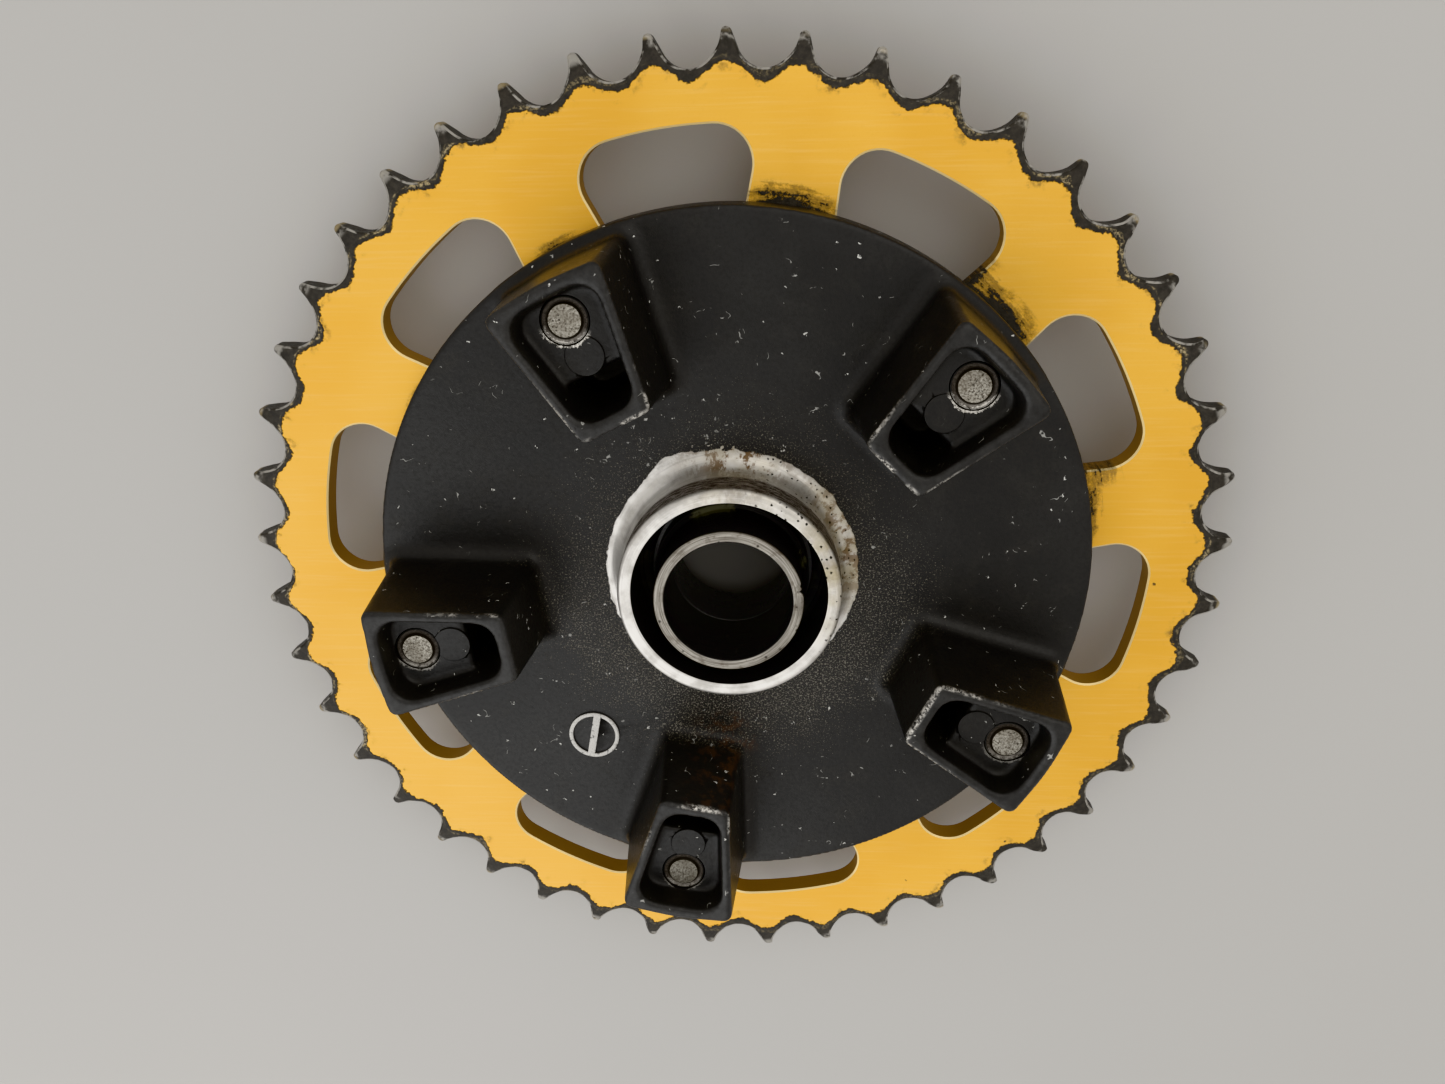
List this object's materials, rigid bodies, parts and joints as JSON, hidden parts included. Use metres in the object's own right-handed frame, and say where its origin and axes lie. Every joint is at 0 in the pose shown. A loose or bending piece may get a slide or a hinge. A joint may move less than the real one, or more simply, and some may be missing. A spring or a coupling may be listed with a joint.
{
  "type": "motorcycle rear sprocket with cush-drive carrier",
  "caption": "Anodised rear chain sprocket bolted to a cast cush-drive carrier with hollow drive lugs, centre bearing and axle spacer sleeve.",
  "frame": {"origin": "on the axle line, in the plane of the chain-side stud ends that the part stands on", "axes": "+Z along the axle line towards the wheel; +Y through the middle of one sprocket tooth; the first stud stands 44.5 degrees from +X towards +Y"},
  "size_m": [0.2328, 0.2327, 0.0547],
  "materials": {
    "gold_anodised": "satin gold anodised, worn grey and greasy on the teeth",
    "black_paint": "cast aluminium in satin black paint, chipped, with a bare machined boss",
    "stud_steel": "zinc-plated steel, dulled",
    "nut_steel": "zinc-plated steel",
    "bearing_steel": "ground bearing steel",
    "ball_steel": "polished bearing steel",
    "cage_plastic": "moulded glass-filled polyamide",
    "seal_rubber": "matt black nitrile",
    "seal_case_steel": "pressed steel",
    "sleeve_steel": "turned steel, scratched and browned"
  },
  "bodies": {
    "carrier_assembly": {"sprocket_ring": "gold_anodised", "carrier": "black_paint", "stud_1": "stud_steel", "stud_2": "stud_steel", "stud_3": "stud_steel", "stud_4": "stud_steel", "stud_5": "stud_steel", "flange_nut_1": "nut_steel", "flange_nut_2": "nut_steel", "flange_nut_3": "nut_steel", "flange_nut_4": "nut_steel", "flange_nut_5": "nut_steel", "bearing_outer_ring": "bearing_steel", "bearing_seal_wheel_side": "seal_rubber", "bearing_seal_chain_side": "seal_rubber", "dust_seal_case": "seal_case_steel", "dust_seal_lip": "seal_rubber"},
    "inner_race": {"bearing_inner_ring": "bearing_steel", "spacer_sleeve": "sleeve_steel"},
    "cage": {"bearing_cage": "cage_plastic"},
    "ball_1": {"bearing_ball_1": "ball_steel"},
    "ball_2": {"bearing_ball_2": "ball_steel"},
    "ball_3": {"bearing_ball_3": "ball_steel"},
    "ball_4": {"bearing_ball_4": "ball_steel"},
    "ball_5": {"bearing_ball_5": "ball_steel"},
    "ball_6": {"bearing_ball_6": "ball_steel"},
    "ball_7": {"bearing_ball_7": "ball_steel"},
    "ball_8": {"bearing_ball_8": "ball_steel"},
    "ball_9": {"bearing_ball_9": "ball_steel"}
  },
  "joints": [
    {"name": "inner_race_spin", "type": "hinge", "parent": "carrier_assembly", "child": "inner_race", "pos_m": [0, 0, 0.0165], "axis": [0, 0, 1], "continuous": true},
    {"name": "cage_spin", "type": "hinge", "parent": "carrier_assembly", "child": "cage", "pos_m": [0, 0, 0.0165], "axis": [0, 0, 1], "continuous": true},
    {"name": "ball_1_spin", "type": "hinge", "parent": "cage", "child": "ball_1", "pos_m": [0.0215, 0, 0.0165], "axis": [0, 0, 1], "continuous": true},
    {"name": "ball_2_spin", "type": "hinge", "parent": "cage", "child": "ball_2", "pos_m": [0.01647, 0.01382, 0.0165], "axis": [0, 0, 1], "continuous": true},
    {"name": "ball_3_spin", "type": "hinge", "parent": "cage", "child": "ball_3", "pos_m": [0.00373, 0.02117, 0.0165], "axis": [0, 0, 1], "continuous": true},
    {"name": "ball_4_spin", "type": "hinge", "parent": "cage", "child": "ball_4", "pos_m": [-0.01075, 0.01862, 0.0165], "axis": [0, 0, 1], "continuous": true},
    {"name": "ball_5_spin", "type": "hinge", "parent": "cage", "child": "ball_5", "pos_m": [-0.0202, 0.00735, 0.0165], "axis": [0, 0, 1], "continuous": true},
    {"name": "ball_6_spin", "type": "hinge", "parent": "cage", "child": "ball_6", "pos_m": [-0.0202, -0.00735, 0.0165], "axis": [0, 0, 1], "continuous": true},
    {"name": "ball_7_spin", "type": "hinge", "parent": "cage", "child": "ball_7", "pos_m": [-0.01075, -0.01862, 0.0165], "axis": [0, 0, 1], "continuous": true},
    {"name": "ball_8_spin", "type": "hinge", "parent": "cage", "child": "ball_8", "pos_m": [0.00373, -0.02117, 0.0165], "axis": [0, 0, 1], "continuous": true},
    {"name": "ball_9_spin", "type": "hinge", "parent": "cage", "child": "ball_9", "pos_m": [0.01647, -0.01382, 0.0165], "axis": [0, 0, 1], "continuous": true}
  ],
  "couplings": [
    {"joint": "cage_spin", "follows": "inner_race_spin", "ratio": 0.3907},
    {"joint": "ball_1_spin", "follows": "inner_race_spin", "ratio": -2.1779},
    {"joint": "ball_2_spin", "follows": "inner_race_spin", "ratio": -2.1779},
    {"joint": "ball_3_spin", "follows": "inner_race_spin", "ratio": -2.1779},
    {"joint": "ball_4_spin", "follows": "inner_race_spin", "ratio": -2.1779},
    {"joint": "ball_5_spin", "follows": "inner_race_spin", "ratio": -2.1779},
    {"joint": "ball_6_spin", "follows": "inner_race_spin", "ratio": -2.1779},
    {"joint": "ball_7_spin", "follows": "inner_race_spin", "ratio": -2.1779},
    {"joint": "ball_8_spin", "follows": "inner_race_spin", "ratio": -2.1779},
    {"joint": "ball_9_spin", "follows": "inner_race_spin", "ratio": -2.1779}
  ]
}
